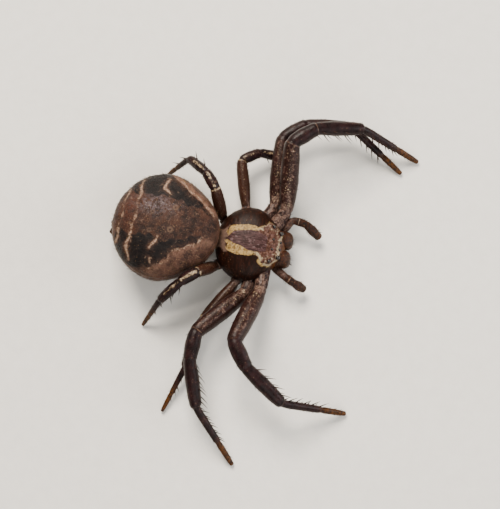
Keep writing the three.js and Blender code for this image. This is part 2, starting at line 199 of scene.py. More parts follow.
# The pale rim of the eye region: places on it with its strength there
HEAD_RIM = (
    (0.66, -0.15, 0.9), (0.64, -0.5, 0.75), (0.8, -0.58, 0.5), (1.06, -0.79, 0.45), (1.02, -1.15, 0.5),
    (0.69, -1.37, 0.7), (0.3, -1.39, 0.6), (-0.05, -1.39, 0.55), (-0.41, -1.33, 0.6), (-0.69, -1.25, 0.55),
    (-0.96, -1.06, 0.75), (-1.06, -0.75, 0.85), (-0.97, -0.59, 0.85), (-0.75, -0.62, 0.85),
    (-0.62, -0.46, 1.0),
)
RIM_WIDTH = 0.1
HEAD_LINE = dict(x=0.03, width=0.06, strength=0.3)
GROOVES = dict(count=4, first=-52, apart=34, width=0.07, depth=0.012, centre_y=0.5)

# Markings of each leg, as strengths: specks and frost on the femur and the patella, the pale line
# on the femur and beyond it, the pale knee, the lighter femur, and where the amber foot begins
FRONT_MARKS = dict(specks=(0.25, 0.1), line=(0, 0), knee=0, frost=(0.33, 0.06), light=0.2, amber=(4.5, 4.75))
LEG_MARKS = {
    1: FRONT_MARKS,
    2: FRONT_MARKS,
    3: dict(specks=(0.18, 0), line=(0.26, 0.4), knee=0.66, frost=(0.12, 0.2), light=0.5, amber=(4.2, 4.7)),
    4: dict(specks=(0.18, 0), line=(0.26, 0.6), knee=0.66, frost=(0.12, 0.2), light=0.5, amber=(4.2, 4.7)),
}
LEG_RINGS = dict(places=(1.97, 2.98, 3.97), width=0.02, strength=0.6)
PALP_RING = dict(place=1.45, width=0.04, strength=0.62)
AMBER_STRENGTH = 0.9

# Spines under tibiae and feet: how many pairs on a front and a hind leg, length, and how far
# along the segment they reach
SPINES = {
    "tibia": dict(front=4, hind=2, length=0.55, reach=0.9),
    "foot": dict(front=5, hind=2, length=0.42, reach=0.6),
}
SPINE_ROWS = (-38, 38)
SPINE = dict(radius=0.031, bend=0.12, stray=8, lean=(38, 55), spread=(0.8, 1.1), hind=0.7, sink=0.9)
CLAW = dict(length=0.11, radius=0.017, back=0.1, apart=0.035, splay=0.25, rise=0.35, curl=0.25)

# Bristles: how many, their lengths and rises, and which markings make them pale.
# A patch is where a bristle's own small square lies in the unwrap.
BRISTLE = dict(radius=0.0085, bend=0.15, sink=0.012)
BODY_BRISTLES = {
    "abdomen": dict(count=1500, length=(0.1, 0.17), corner=(0.25, 0.25), pale=dict(pale=0.9, flank=0.35)),
    "carapace": dict(count=420, length=(0.08, 0.13), corner=(0.75, 0.25), pale=dict(cream=0.9, front=0.3)),
}
LEG_BRISTLES = dict(
    count=330, ends=(30, 10), lowest=0.25, length=(0.09, 0.16), rise=(25, 50), size=0.96, low=0.52,
    apart=0.058,
)
MOUTH_BRISTLES = dict(
    count=120, ends=(12, 6), lowest=0, length=(0.1, 0.2), rise=(30, 55), size=0.9, low=0.1, apart=0.2,
)
BODY_RISE = (18, 42)
BODY_STRAY = 0.2
BODY_SPREAD = dict(above=0.24, below=0.2352)
BODY_SINK = 0.035
PATCH = 0.003

# Colours: one, or a dark and a light one that noise mottles
# Two of the abdomen's tones are painted highlights: a grey patch of reflected light, and pale specks of
# reflected light within it
ABDOMEN_TONES = dict(
    ground=("#180e0b", "#2e1c17"), cloud="#3f261a", warm="#412014", flank=("#2a1a15", "#4a3127"),
    flank_grain="#614638", rosy="#78594a", sheen="#54484b", grain="#745a4a", pores="#120b09", painted_glint="#a19a9b",
    dark=("#080506", "#130d0d"), blush="#543a2e", pale=("#5d4134", "#a38a76"), halo="#6b5444", pit="#150d0c",
    fleck="#85694c",
)
# The spindle's lightest mottles are a painted highlight of lavender light
CARAPACE_TONES = dict(
    ground=("#150804", "#28120a"), fleck="#6b4f38", front=("#2c1a13", "#472d23"), front_grain="#68524a",
    front_blotch="#5f4643", rear=("#34251f", "#6c574c"), cream=("#5f4826", "#a08553"), cream_blotch="#8d7a5e",
    cream_fleck="#3d2616", cream_pores="#4a3019", rim=("#6f6252", "#a59c88"), spindle=("#281817", "#473232"),
    spindle_painted_highlight="#6b5859", point="#120a09", under=("#33201a", "#6b5038"), face=("#2b1608", "#573214"),
)
LEG_TONES = dict(
    ground=("#120809", "#231213"), light=("#2a180e", "#45291a"), frost=("#45312a", "#80685d"),
    specks=("#6a563f", "#a8967c"), fleck="#7f6752", amber=("#1f1006", "#4f2d0a"), ring="#6b5242",
)
MOUTH_TONES = dict(
    ground=("#170a06", "#32180c"), frost="#6d5750", fleck="#836440", ring="#8a7565",
    amber=("#1d0e06", "#40230e"),
)
SPINE_TONES = ("#120b0a", "#2b1a14")
CLAW_TONES = ("#0d0807", "#241511")
DARK_BRISTLE = ("#140c0a", "#34221b")
PALE_BRISTLE = ("#6e5536", "#96794f")
EYE_TONES = ("#050304", "#1a0f0c")
FLOOR_TONES = ("#d9d7d2", "#e6e4df")

# Studio, in millimetres: the camera looks down on the body, tipped to its right side and forwards
CAMERA = dict(
    target=(0, 0, 1.5), side_lean=14, front_lean=4, roll=8, distance=100.0, sensor=36, near=0.005, far=5,
)
PIXEL = 0.047
FRAME_PIXELS = 509
AIM_BELOW = 11.5
LAMPS = {
    "key": dict(place=(90, 40, 120), size=80, watts=0.58, tint="#fff4e6"),
    "fill": dict(place=(-90, -40, 80), size=120, watts=0.16, tint="#f4f1ec"),
    "rim": dict(place=(20, -110, 50), size=70, watts=0.12, tint="#ffffff"),
}
SKY = dict(tint="#f1ebe2", strength=0.33)
FLOOR_REACH = 0.6


def unit(vector):
    vector = np.asarray(vector, float)
    return vector / np.linalg.norm(vector, axis=-1, keepdims=True)


def direction(heading, rise):
    """The unit vector of a heading, from straight ahead to the animal's left, and a rise, in degrees."""
    turn, tilt = radians(heading), radians(rise)
    return np.array([sin(turn) * cos(tilt), -cos(turn) * cos(tilt), sin(tilt)])


def smooth(value, low, high):
    """0 below low, 1 above high and an even step in between."""
    share = np.clip((np.asarray(value, float) - low) / (high - low), 0, 1)
    return share * share * (3 - 2 * share)


def band(value, low, high, soft):
    """1 where value lies between low and high, falling off over soft on each side."""
    return smooth(value, low - soft, low + soft) * (1 - smooth(value, high - soft, high + soft))


def hump(value, width):
    """1 where value is 0, falling off to both sides."""
    return np.exp(-((value / width) ** 2))


def spot(x, y, patch):
    """A soft oval patch, given as its centre, half width and half length."""
    middle_x, middle_y, half_width, half_length = patch
    return np.exp(-(((x - middle_x) / half_width) ** 2 + ((y - middle_y) / half_length) ** 2))


def between(value, pairs):
    """The number that (place, number) pairs give at a value."""
    places, numbers = zip(*pairs)
    return np.interp(value, places, numbers)


def taper(pairs, size=1.0):
    """A function from the place along a tube to its radius there."""
    return lambda along: size * between(along, pairs)


# Body forms


def carapace_point(way):
    """The cephalothorax's surface in each direction from its centre."""
    form, bulge = CARAPACE, CARAPACE["bulge"]
    x, y, z = way[..., 0], way[..., 1], way[..., 2]
    out_y = np.where(y < 0, -form["front"] * np.abs(y) ** bulge["front"], form["rear"] * y)
    narrowing = 1 - form["head_narrowing"] * smooth(-out_y, 0.1, form["front"])
    under = np.where(z < 0, 1 - form["sternum_narrowing"] * np.abs(z) ** 1.5, 1)
    out_x = form["half_width"] * np.sign(x) * np.abs(x) ** bulge["side"] * narrowing * under
    slope = 1 - form["head_slope"] * smooth(-out_y, 0.3, form["front"])
    slope = slope - form["rear_slope"] * smooth(out_y, 0.6, form["rear"])
    above = form["dome"] * np.abs(z) ** bulge["dome"] * slope
    below = -form["sternum_depth"] * np.abs(z) ** bulge["sternum"]
    return np.stack([out_x, out_y * under, np.where(z > 0, above, below)], -1) + form["centre"]


def abdomen_point(way):
    """The abdomen's surface in each direction from its centre."""
    form, bulge = ABDOMEN, ABDOMEN["bulge"]
    x, y, z = way[..., 0], way[..., 1], way[..., 2]
    out_y = np.where(y < 0, form["front"] * y, form["rear"] * y)
    out_x = form["half_width"] * x * (1 - form["front_narrowing"] * smooth(-out_y, -0.4, form["front"]))
    above = form["dome"] * np.abs(z) ** bulge["dome"]
    below = -form["belly"] * np.abs(z) ** bulge["belly"]
    return np.stack([out_x, out_y, np.where(z > 0, above, below)], -1) + form["centre"]


def shift_to_origin():
    """The solids' shift to the origin, read from where one eye stands in them."""
    eye = EYES["anterior_median"]
    seat = carapace_point(direction(eye["bearing"], eye["height"]))
    low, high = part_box("eye_anterior_median_left")
    return np.array((low + high) / 2) / MM - seat


SHIFT = shift_to_origin()


def ball_ways(rows, sides):
    """Directions over a sphere, in rings from just off its top to just off its bottom."""
    pole = 0.004 * pi
    down = np.minimum(np.linspace(pole, pi, rows), pi - pole)[:, None]
    turn = (np.arange(sides) / sides * tau)[None, :]
    across, ahead = np.sin(down) * np.cos(turn), np.sin(down) * np.sin(turn)
    return np.stack([across, ahead, np.cos(down) * np.ones_like(turn)], -1)


def facing_in(rings):
    """Whether the faces between these rings would face inwards."""
    beside = np.roll(rings, -1, axis=1)
    near, near_beside, far_beside, far = rings[:-1], beside[:-1], beside[1:], rings[1:]
    area = np.cross(far_beside - near, far - near_beside)
    return float((area * ((near + far_beside) / 2 - rings.mean((0, 1)))).sum()) < 0


class Shell:
    """Gathers closed surfaces with their fields, to become one mesh."""

    def __init__(self):
        self.points, self.faces, self.fields, self.unwrap = [], [], {}, []
        self.count = 0

    def grid(self, rings, unwrap=None, **fields):
        """A tube through rings of points, closed at both ends; a field has one value for each point."""
        if facing_in(rings):
            rings = rings[:, ::-1]
            shape = rings.shape[:2]
            fields = {name: np.broadcast_to(value, shape)[:, ::-1] for name, value in fields.items()}
        rows, sides = rings.shape[:2]
        index = np.arange(rows * sides).reshape(rows, sides) + self.count
        after = np.roll(index, -1, axis=1)
        quads = np.stack([index[:-1], after[:-1], after[1:], index[1:]], -1).reshape(-1, 4)
        self.faces += quads.tolist() + [index[0][::-1].tolist(), index[-1].tolist()]
        self.points.append(rings.reshape(-1, 3))
        if unwrap is not None:
            self.unwrap.append(unwrap.reshape(-1, 2))
        for name, value in fields.items():
            flat = np.broadcast_to(value, (rows, sides)).reshape(-1)
            self.fields.setdefault(name, []).append(flat)
        self.count += rows * sides

    def mesh(self, name):
        points = (np.concatenate(self.points) + SHIFT) * MM
        points[:, 2] = np.maximum(points[:, 2], FLOOR_GAP * MM)
        mesh = bpy.data.meshes.new(name)
        mesh.from_pydata(points.tolist(), [], self.faces)
        for field, parts in self.fields.items():
            layer = mesh.attributes.new(field, "FLOAT", "POINT")
            layer.data.foreach_set("value", np.concatenate(parts).astype(np.float32))
        if self.unwrap:
            corners = np.zeros(len(mesh.loops), np.int32)
            mesh.loops.foreach_get("vertex_index", corners)
            places = np.concatenate(self.unwrap)[corners]
            layer = mesh.uv_layers.new(name="OFBake")
            layer.data.foreach_set("uv", places.astype(np.float32).reshape(-1))
        mesh.shade_smooth()
        mesh.update()
        return mesh

    def build(self, name, material, nodes=()):
        """The piece, in place of the CAD nodes it stands for."""
        mesh = self.mesh(name)
        mesh.materials.append(material)
        piece = bpy.data.objects.new(name, mesh)
        bpy.context.scene.collection.objects.link(piece)
        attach(piece, "root")
        if nodes:
            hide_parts(*nodes)


# Materials


class Paint:
    """A material under construction: each method adds shader nodes and returns their output."""

    def __init__(self, name, roughness=0.4, coat=0.0, specular=0.13):
        self.material = bpy.data.materials.new(name)
        self.material.use_nodes = True
        self.tree = self.material.node_tree
        self.shader = self.tree.nodes["Principled BSDF"]
        self.shader.inputs["Roughness"].default_value = roughness
        self.shader.inputs["Coat Weight"].default_value = coat
        self.shader.inputs["Coat Roughness"].default_value = 0.25
        self.shader.inputs["Specular IOR Level"].default_value = specular
        self.place = self.node("TexCoord").outputs["Object"]

    def plug(self, socket, value):
        """A link, a hex colour or a number into a socket."""
        if isinstance(value, bpy.types.NodeSocket):
            self.tree.links.new(value, socket)
        else:
            socket.default_value = colour(value) if isinstance(value, str) else value

    def node(self, kind, *values, **settings):
        """A new node with these settings, and these values in its first inputs."""
        node = self.tree.nodes.new("ShaderNode" + kind)
        for name, value in settings.items():
            setattr(node, name, value)
        for socket, value in zip(node.inputs, values):
            self.plug(socket, value)
        return node

    def field(self, name):
        """One of the mesh's fields."""
        return self.node("Attribute", attribute_name=name).outputs["Fac"]

    def texture(self, kind, size, stretch=(1, 1, 1)):
        """A texture over the surface, size millimetres to its unit."""
        mapping = self.node("Mapping", self.place)
        mapping.inputs["Scale"].default_value = [share / (size * MM) for share in stretch]
        node = self.node("Tex" + kind, mapping.outputs["Vector"])
        node.inputs["Scale"].default_value = 1
        return node

    def noise(self, size, detail=3, stretch=(1, 1, 1), twist=0.0):
        """Noise from 0 to 1 whose blotches are about size millimetres across."""
        node = self.texture("Noise", size, stretch)
        node.inputs["Detail"].default_value = detail
        node.inputs["Roughness"].default_value = 0.55
        node.inputs["Distortion"].default_value = twist
        return node.outputs["Fac"]

    def flecks(self, size, share, reach=0.2):
        """Scattered dots in cells of this size, thinned out to a share of them."""
        dots = self.step(self.texture("Voronoi", size).outputs["Distance"], reach, reach * 0.5)
        edge = 0.6 - 0.2 * share
        return self.times(dots, self.step(self.noise(size * 2.5, 1), edge, edge + 0.04))

    def maths(self, operation, a, b):
        return self.node("Math", a, b, operation=operation).outputs[0]

    def times(self, first, *others):
        product = first
        for value in others:
            product = self.maths("MULTIPLY", product, value)
        return product

    def step(self, value, low, high, to_low=0.0, to_high=1.0):
        """A smooth step from to_low to to_high as the value goes from low to high."""
        ends = low, high, to_low, to_high
        return self.node("MapRange", value, *ends, interpolation_type="SMOOTHSTEP").outputs[0]

    def broken(self, name, noise, amount, soft):
        """A field, or another mask, whose edge wanders with noise."""
        mask = self.field(name) if isinstance(name, str) else name
        shaken = self.maths("ADD", mask, self.times(self.maths("SUBTRACT", noise, 0.5), amount))
        return self.step(shaken, 0.5 - soft, 0.5 + soft)

    def blend(self, factor, a, b):
        node = self.node("Mix", factor, data_type="RGBA")
        self.plug(node.inputs[6], a)
        self.plug(node.inputs[7], b)
        return node.outputs[2]

    def mottled(self, tones, noise, low, high):
        """A dark and a light tone, mixed by noise."""
        return self.blend(self.step(noise, low, high), *tones)

    def layers(self, base, *layers):
        """A base with tones laid over it one by one, each where the product of its masks is."""
        for tone, *masks in layers:
            base = self.blend(self.times(*masks), base, tone)
        return base

    def finish(self, base, roughness, height=None, depth=0.01):
        """Colour, roughness and a bump that is depth millimetres deep."""
        self.plug(self.shader.inputs["Base Color"], base)
        self.plug(self.shader.inputs["Roughness"], roughness)
        if height is not None:
            node = self.node("Bump")
            node.inputs["Distance"].default_value = depth * MM
            self.plug(node.inputs["Height"], height)
            self.plug(self.shader.inputs["Normal"], node.outputs["Normal"])
        return self.material


def colour(code):
    """A hex colour as Blender's linear values."""
    channels = [int(code[i:i + 2], 16) / 255 for i in (1, 3, 5)]
    linear = [c / 12.92 if c <= 0.04045 else ((c + 0.055) / 1.055) ** 2.4 for c in channels]
    return (*linear, 1)


def abdomen_paint():
    tones = ABDOMEN_TONES
    paint = Paint("abdomen_skin", roughness=0.46)
    mottle = paint.noise(0.2, 6, twist=0.7)
    fine = paint.noise(0.06, 4)
    edge = paint.noise(0.17, 5, twist=0.5)
    folds = paint.noise(0.5, 3, stretch=(1, 0.45, 3.2), twist=1.1)
    flank = paint.layers(
        paint.mottled(tones["flank"], paint.noise(0.4, 4), 0.36, 0.66),
        (tones["flank_grain"], paint.step(fine, 0.52, 0.68), 0.5),
    )
    dark = paint.mottled(tones["dark"], mottle, 0.38, 0.68)
    pale = paint.mottled(tones["pale"], fine, 0.35, 0.65)
    base = paint.layers(
        paint.mottled(tones["ground"], mottle, 0.36, 0.66),
        (tones["cloud"], paint.step(paint.noise(0.55, 4), 0.46, 0.62), 0.6),
        (tones["warm"], paint.field("warm"), paint.step(edge, 0.3, 0.65)),
        (flank, paint.field("flank")),
        (tones["rosy"], paint.field("rosy"), paint.step(edge, 0.3, 0.62)),
        # painted highlight: grey reflected light painted over the abdomen's upper left side
        (tones["sheen"], paint.field("sheen"), paint.step(paint.noise(0.16, 5), 0.4, 0.62)),
        (tones["grain"], paint.step(fine, 0.54, 0.7), 0.35),
        (tones["pores"], paint.step(fine, 0.46, 0.3), 0.45),
        # painted highlights: pale specks of reflected light scattered inside the painted highlight patch
        (tones["painted_glint"], paint.field("sheen"), paint.flecks(0.08, 0.8, 0.3), 0.6),
        (dark, paint.broken("dark", edge, 0.6, 0.18)),
        (tones["blush"], paint.field("blush"), paint.step(edge, 0.36, 0.6), 0.6),
        (pale, paint.broken("pale", mottle, 2.0, 0.3), 0.85),
        (tones["halo"], paint.field("halo")),
        (tones["pit"], paint.field("pit")),
        (tones["fleck"], paint.flecks(0.13, 0.3), 0.5),
    )
    height = paint.maths("ADD", paint.times(folds, 0.7), fine)
    height = paint.maths("ADD", height, paint.times(mottle, 0.7))
    return paint.finish(base, paint.step(fine, 0.3, 0.7, 0.28, 0.56), height, 0.04)


def carapace_paint():
    tones = CARAPACE_TONES
    paint = Paint("cephalothorax_skin", roughness=0.38, specular=0.09)
    mottle = paint.noise(0.13, 6, twist=0.6)
    edge = paint.noise(0.1, 5, twist=0.5)
    fine = paint.noise(0.04, 4)
    rays = paint.noise(0.14, 4, stretch=(0.35, 1.4, 1))
    streaks = paint.noise(0.12, 5, stretch=(1.6, 0.35, 1), twist=0.3)
    front = paint.layers(
        paint.mottled(tones["front"], mottle, 0.38, 0.58),
        (tones["front_grain"], paint.step(mottle, 0.54, 0.7), 0.8),
        (tones["front_blotch"], paint.step(edge, 0.5, 0.66), 0.7),
    )
    cream = paint.layers(
        paint.mottled(tones["cream"], mottle, 0.36, 0.62),
        (tones["cream_blotch"], paint.step(edge, 0.5, 0.66), 0.7),
        (tones["cream_fleck"], paint.flecks(0.1, 1.0, 0.3), 0.9),
        (tones["cream_pores"], paint.step(fine, 0.46, 0.34), 0.6),
        (paint.blend(edge, *tones["rim"]), paint.field("front"), 0.7),
    )
    spindle = paint.layers(
        paint.mottled(tones["spindle"], streaks, 0.38, 0.66),
        # painted highlight: lavender light painted over the spindle's lighter mottles
        (tones["spindle_painted_highlight"], paint.step(mottle, 0.54, 0.7), 0.6),
    )
    base = paint.layers(
        paint.mottled(tones["ground"], rays, 0.42, 0.74),
        (tones["fleck"], paint.flecks(0.16, 0.3), 0.6),
        (front, paint.broken("front", edge, 0.7, 0.2)),
        (paint.blend(mottle, *tones["rear"]), paint.broken("rear", edge, 1.0, 0.3)),
        (cream, paint.broken("cream", edge, 1.2, 0.2)),
        (spindle, paint.broken("spindle", edge, 0.45, 0.12)),
        (tones["point"], paint.field("point")),
        (paint.mottled(tones["under"], mottle, 0.4, 0.6), paint.field("under")),
        (paint.blend(mottle, *tones["face"]), paint.field("face")),
    )
    height = paint.maths("ADD", paint.times(fine, 0.5), paint.times(mottle, 0.6))
    return paint.finish(base, paint.step(fine, 0.3, 0.7, 0.3, 0.52), height, 0.016)


def leg_paint():
    tones = LEG_TONES
    paint = Paint("leg_skin", roughness=0.36)
    mottle = paint.noise(0.1, 6, twist=0.6)
    fine = paint.noise(0.04, 4)
    frost = paint.broken("frost", paint.noise(0.18, 5, twist=0.8), 1.7, 0.22)
    patchy = paint.times(paint.field("cream"), paint.step(paint.noise(0.45, 3), 0.36, 0.6, 0.55, 1.15))
    specks = paint.broken(patchy, paint.noise(0.08, 5, twist=0.6), 1.7, 0.13)
    base = paint.layers(
        paint.mottled(tones["ground"], paint.noise(0.3, 4), 0.35, 0.68),
        (paint.blend(mottle, *tones["light"]), paint.field("light")),
        (paint.mottled(tones["frost"], fine, 0.4, 0.6), frost, 0.75),
        (paint.mottled(tones["specks"], fine, 0.35, 0.65), specks),
        (tones["fleck"], paint.flecks(0.12, 0.25), 0.5),
        (paint.mottled(tones["amber"], mottle, 0.4, 0.6), paint.field("amber")),
        (tones["ring"], paint.broken("ring", mottle, 0.9, 0.2)),
    )
    height = paint.maths("ADD", paint.times(fine, 0.6), paint.times(mottle, 0.5))
    return paint.finish(base, paint.step(fine, 0.3, 0.7, 0.22, 0.42), height, 0.016)


def mouth_paint():
    tones = MOUTH_TONES
    paint = Paint("mouth_skin", roughness=0.4)
    mottle = paint.noise(0.12, 6, twist=0.4)
    fine = paint.noise(0.04, 4)
    base = paint.layers(
        paint.mottled(tones["ground"], mottle, 0.38, 0.62),
        (tones["frost"], paint.field("frost"), paint.step(fine, 0.42, 0.6)),
        (tones["fleck"], paint.flecks(0.12, 0.7), 0.7),
        (tones["ring"], paint.broken("ring", fine, 0.8, 0.2)),
        (paint.mottled(tones["amber"], mottle, 0.4, 0.6), paint.field("amber")),
    )
    return paint.finish(base, paint.step(fine, 0.3, 0.7, 0.32, 0.54), paint.maths("ADD", fine, mottle), 0.014)


def horn_paint(name, tones):
    """The dark horn of spines and claws."""
    paint = Paint(name, roughness=0.45)
    shade = paint.noise(0.3, 3)
    return paint.finish(paint.mottled(tones, shade, 0.4, 0.6), paint.step(shade, 0.3, 0.7, 0.38, 0.55))


def bristle_paint():
    """Dark bristles, and pale ones where their tone says so."""
    paint = Paint("bristles", roughness=0.5)
    shade = paint.noise(0.3, 3)
    dark, pale = (paint.mottled(tones, shade, 0.4, 0.6) for tones in (DARK_BRISTLE, PALE_BRISTLE))
    base = paint.blend(paint.field("tone"), dark, pale)
    return paint.finish(base, paint.step(shade, 0.3, 0.7, 0.42, 0.6))


def eye_paint():
    paint = Paint("eye_glass", roughness=0.08, coat=0.6)
    shade = paint.noise(0.03, 2)
    return paint.finish(paint.blend(shade, *EYE_TONES), paint.step(shade, 0.3, 0.7, 0.06, 0.14))


def floor_paint():
    paint = Paint("floor_paper", roughness=0.8)
    grain = paint.noise(0.6, 4)
    return paint.finish(paint.blend(grain, *FLOOR_TONES), paint.step(grain, 0.3, 0.7, 0.7, 0.9), grain, 0.02)


# Markings


def beside(x, y, line):
    """The distance to a line through (x, y, strength) places, and the strength at its nearest place."""
    nearest = np.full(x.shape, np.inf)
    strength = np.zeros(x.shape)
    for (x0, y0, strength0), (x1, y1, strength1) in zip(line, line[1:]):
        dx, dy = x1 - x0, y1 - y0
        share = np.clip(((x - x0) * dx + (y - y0) * dy) / (dx * dx + dy * dy), 0, 1)
        away = np.hypot(x - x0 - share * dx, y - y0 - share * dy)
        strength = np.where(away < nearest, strength0 + share * (strength1 - strength0), strength)
        nearest = np.minimum(nearest, away)
    return nearest, strength


def dark_fields(x, y):
    """The abdomen's two dark fields, the flank outside them and its rosy edge."""
    side = np.abs(x)
    wander = 0.06 * np.sin(7.3 * y + 2.0 * x) + 0.04 * np.sin(13 * y - 3 * x)
    dark, outside, rosy = np.zeros_like(x), np.zeros_like(x), np.zeros_like(x)
    for field, here, blush in ((DARK_LEFT, x > 0, 0.9), (DARK_RIGHT, x <= 0, 0.5)):
        rows, begins, ends = np.array(field).T
        begin = np.interp(y, rows, begins) + wander
        end = np.interp(y, rows, ends) + 0.5 * wander
        within = smooth(side - begin, -0.16, 0.14) * (1 - smooth(side - end, -0.1, 0.1))
        within = within * band(y, rows[0] + 0.1, rows[-1] - 0.1, 0.15)
        dark = np.where(here, within, dark)
        outside = np.where(here, smooth(side - end, -0.05, 0.2) * (1 - smooth(y, 4.6, 5.4)), outside)
        edge = blush * band(side - end, 0.02, 0.3, 0.14) * (1 - smooth(y, 4.2, 4.8))
        rosy = np.where(here, edge, rosy)
    return dark, outside, rosy


def pale_lines(x, y):
    """The abdomen's pale streaks and borders, and the blush around them."""
    bent_x, bent_y = x + 0.04 * np.sin(9 * y), y + 0.05 * np.sin(6 * x)
    pale, blush = np.zeros_like(x), np.zeros_like(x)
    for lines, width in ((STREAKS, STREAK_WIDTH), (BORDERS, BORDER_WIDTH)):
        for line in lines:
            away, strength = beside(bent_x, bent_y, line)
            pale = np.maximum(pale, width["strength"] * strength * hump(away, width["pale"]))
            blush = np.maximum(blush, strength * hump(away, width["blush"]))
    return pale, blush


def dimples(x, y):
    """The abdomen's dimples and the pale rings around them."""
    pit, halo = np.zeros_like(x), np.zeros_like(x)
    for across, back, radius, darkness in DIMPLES:
        away = np.hypot(x - across, y - back)
        pit = np.maximum(pit, darkness * hump(away, radius))
        halo = np.maximum(halo, 0.6 * (1 - darkness) * hump(away - radius, 0.05))
    return pit, halo


def abdomen_marks(points, ways):
    """The masks of the abdomen's markings, and of its painted highlight, at points on it, seen from its
    centre along ways.
    """
    x, y, height = points[..., 0], points[..., 1], ways[..., 2]
    dark, outside, rosy = dark_fields(x, y)
    pale, blush = pale_lines(x, y)
    pit, halo = dimples(x, y)
    warm = np.maximum(spot(x, y, WARM_REAR), 0.8 * spot(x, y, WARM_SIDE))
    upper = dict(dark=dark, pale=pale, blush=blush, pit=pit, halo=halo, warm=warm, rosy=rosy)
    # the patch of painted highlight, where the key lamp's reflection is painted into the colour
    upper["sheen"] = spot(x, y, PAINTED_SHEEN_PATCH)
    top = smooth(height, -0.05, 0.25)
    marks = {name: mask * top for name, mask in upper.items()}
    flank = 1 - smooth(height + 0.1 * np.sin(5 * np.arctan2(x, y - 4)), 0.2, 0.42)
    return marks | dict(flank=np.maximum(flank, outside))


def carapace_marks(points, ways):
    """The masks of the cephalothorax's markings at points on it, seen from its centre along ways."""
    x, y, height = points[..., 0], points[..., 1], ways[..., 2]
    side, left = np.abs(x), x > 0
    top, upper = smooth(height, 0.3, 0.55), smooth(height, 0.0, 0.15)

    inner = np.where(left, between(y, SPINDLE_LEFT), between(y, SPINDLE_RIGHT))
    outer = np.where(left, between(y, CREAM_LEFT), between(y, CREAM_RIGHT))
    spindle = smooth(inner - side, -0.05, 0.07) * top * smooth(y, -1.1, -0.6)
    cream = smooth(side - inner, -0.07, 0.05) * (1 - smooth(side - outer, -0.05, 0.06)) * top
    cream = cream * smooth(y, -0.7, 0.1) * (1 - smooth(y + 0.06 * np.sin(14 * x), 0.9, 1.3))

    away, strength = beside(x + 0.03 * np.sin(17 * y), y + 0.03 * np.sin(15 * x), HEAD_RIM)
    rim = strength * hump(away, RIM_WIDTH)
    line = HEAD_LINE["strength"] * hump(x - HEAD_LINE["x"], HEAD_LINE["width"]) * band(y, -1.35, -0.45, 0.12)
    cream = np.maximum(cream, np.maximum(rim, line) * upper)
    front = (1 - smooth(side - between(y, EYE_REGION), -0.06, 0.06)) * (1 - smooth(y, -0.55, 0.0)) * upper

    slope_side = between(y, REAR_SLOPE) + 0.05 * np.sin(13 * y + x)
    behind = smooth(y + 0.08 * np.sin(9 * x + 1), 0.92, 1.2)
    rear = (1 - smooth(side - slope_side, -0.16, 0.12)) * behind * upper
    point = spot(x, y, SPINDLE_POINT) * top
    under = 1 - smooth(height, -0.1, 0.02)
    face = (1 - smooth(height, 0.3, 0.5)) * smooth(-y, 1.05, 1.35)
    return dict(spindle=spindle, cream=cream, front=front, rear=rear, point=point, under=under, face=face)


def leg_fields(number):
    """The masks of a leg's markings: specks, pale line and rings, frost, and amber foot."""
    marks = LEG_MARKS[number]

    def fields(along, top):
        femur = band(along, 1.05, 1.95, 0.06)
        patella = band(along, 2.05, 2.9, 0.08)
        beyond = np.maximum(patella, band(along, 3.05, 3.7, 0.15))
        hip = 1 - smooth(along, 1.0, 1.2)
        above = smooth(top, -0.2, 0.6)
        specks = smooth(top, 0.62, 1.0) * (marks["specks"][0] * femur + marks["specks"][1] * patella)
        line = smooth(top, 0.9, 0.99) * (marks["line"][0] * femur + marks["line"][1] * beyond)
        knee = marks["knee"] * above * band(along, 1.91, 1.99, 0.03)
        cream = np.maximum(specks + 0.16 * hip * above, np.maximum(line, knee))
        frost = smooth(top, 0.4, 1.0) * (marks["frost"][0] * femur + marks["frost"][1] * patella)
        frost = frost + 0.5 * hip * smooth(top, -0.4, 0.5)
        rings = sum(hump(along - place, LEG_RINGS["width"]) for place in LEG_RINGS["places"])
        return dict(cream=cream, frost=frost, ring=rings * LEG_RINGS["strength"],
                    amber=smooth(along, *marks["amber"]) * AMBER_STRENGTH,
                    light=marks["light"] * femur * smooth(top, -0.8, 0.4))

    return fields


def palp_fields(along, top):
    """The masks of a palp's markings: one pale ring, a frosted base and a lighter tip."""
    ring = hump(along - PALP_RING["place"], PALP_RING["width"]) * smooth(top, -0.4, 0.4)
    ring = ring * PALP_RING["strength"]
    frost = 0.7 * (1 - smooth(along, 0.7, 1.4)) * smooth(top, 0, 0.8)
    return dict(amber=0.5 * smooth(along, 2.3, 2.9), ring=ring, frost=frost)


def ambering(end, start=0.0):
    """Fields of a small limb that turns amber from its start to its end."""
    return lambda along, top: dict(amber=start + (end - start) * along / along.max())


# Body


def abdomen():
    ways = ball_ways(240, 320)
    points = abdomen_point(ways)
    outward = unit(points - np.array(ABDOMEN["centre"]))
    marks = abdomen_marks(points, ways)
    x, y, height = points[..., 0], points[..., 1], ways[..., 2]
    low, top = 1 - smooth(height, 0.1, 0.4), smooth(height, -0.05, 0.25)
    depth = ABDOMEN_RELIEF
    folds = depth["folds"] * np.sin(height * 34 + 1.3 * np.sin(ways[..., 0] * 5)) * low
    ripples = depth["ripples"] * np.sin(y * 11 + 0.8 * np.abs(x)) * smooth(y, 3.8, 5.2) * top
    waves = depth["waves"] * np.sin(9 * x + 2 * np.sin(4 * y)) * np.sin(7 * y + 1.5 * np.sin(5 * x))
    relief = folds + ripples + waves - BODY_SKIN_DEPTH["abdomen"]
    relief = relief - depth["pit"] * marks["pit"] - depth["pale"] * marks["pale"]
    shell = Shell()
    shell.grid(points + outward * relief[..., None], **marks)
    shell.build("abdomen_skin", abdomen_paint(), ["abdomen"])


def eye_places():
    """Each eye's name and measures, and its direction from the carapace's centre."""
    for kind, eye in EYES.items():
        for side, sign in (("left", 1), ("right", -1)):
            yield f"{kind}_{side}", eye, direction(sign * eye["bearing"], eye["height"])


